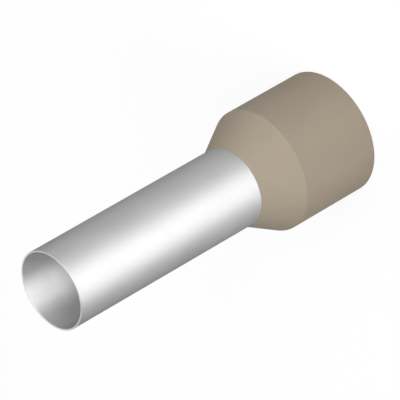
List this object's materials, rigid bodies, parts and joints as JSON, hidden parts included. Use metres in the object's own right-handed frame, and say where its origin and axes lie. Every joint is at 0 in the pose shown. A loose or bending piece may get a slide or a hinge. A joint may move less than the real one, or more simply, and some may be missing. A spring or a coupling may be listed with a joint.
{
  "type": "insulated wire ferrule",
  "caption": "Insulated wire end ferrule: a thin tinned copper crimp sleeve with a moulded plastic collar and entry funnel at its rear.",
  "frame": {"origin": "on the axis, in the plane of the collar's rear face, which the ferrule stands on", "axes": "+Z along the axis, from the collar's rear face to the sleeve's front mouth; X and Y are any pair across it"},
  "size_m": [0.0136, 0.0134, 0.039],
  "materials": {
    "tinned_copper": "bright tin plating on drawn copper, satin",
    "collar_plastic": "moulded greige polypropylene, fine matte"
  },
  "bodies": {
    "root": {"metal_sleeve": "tinned_copper", "plastic_collar": "collar_plastic"}
  },
  "joints": []
}
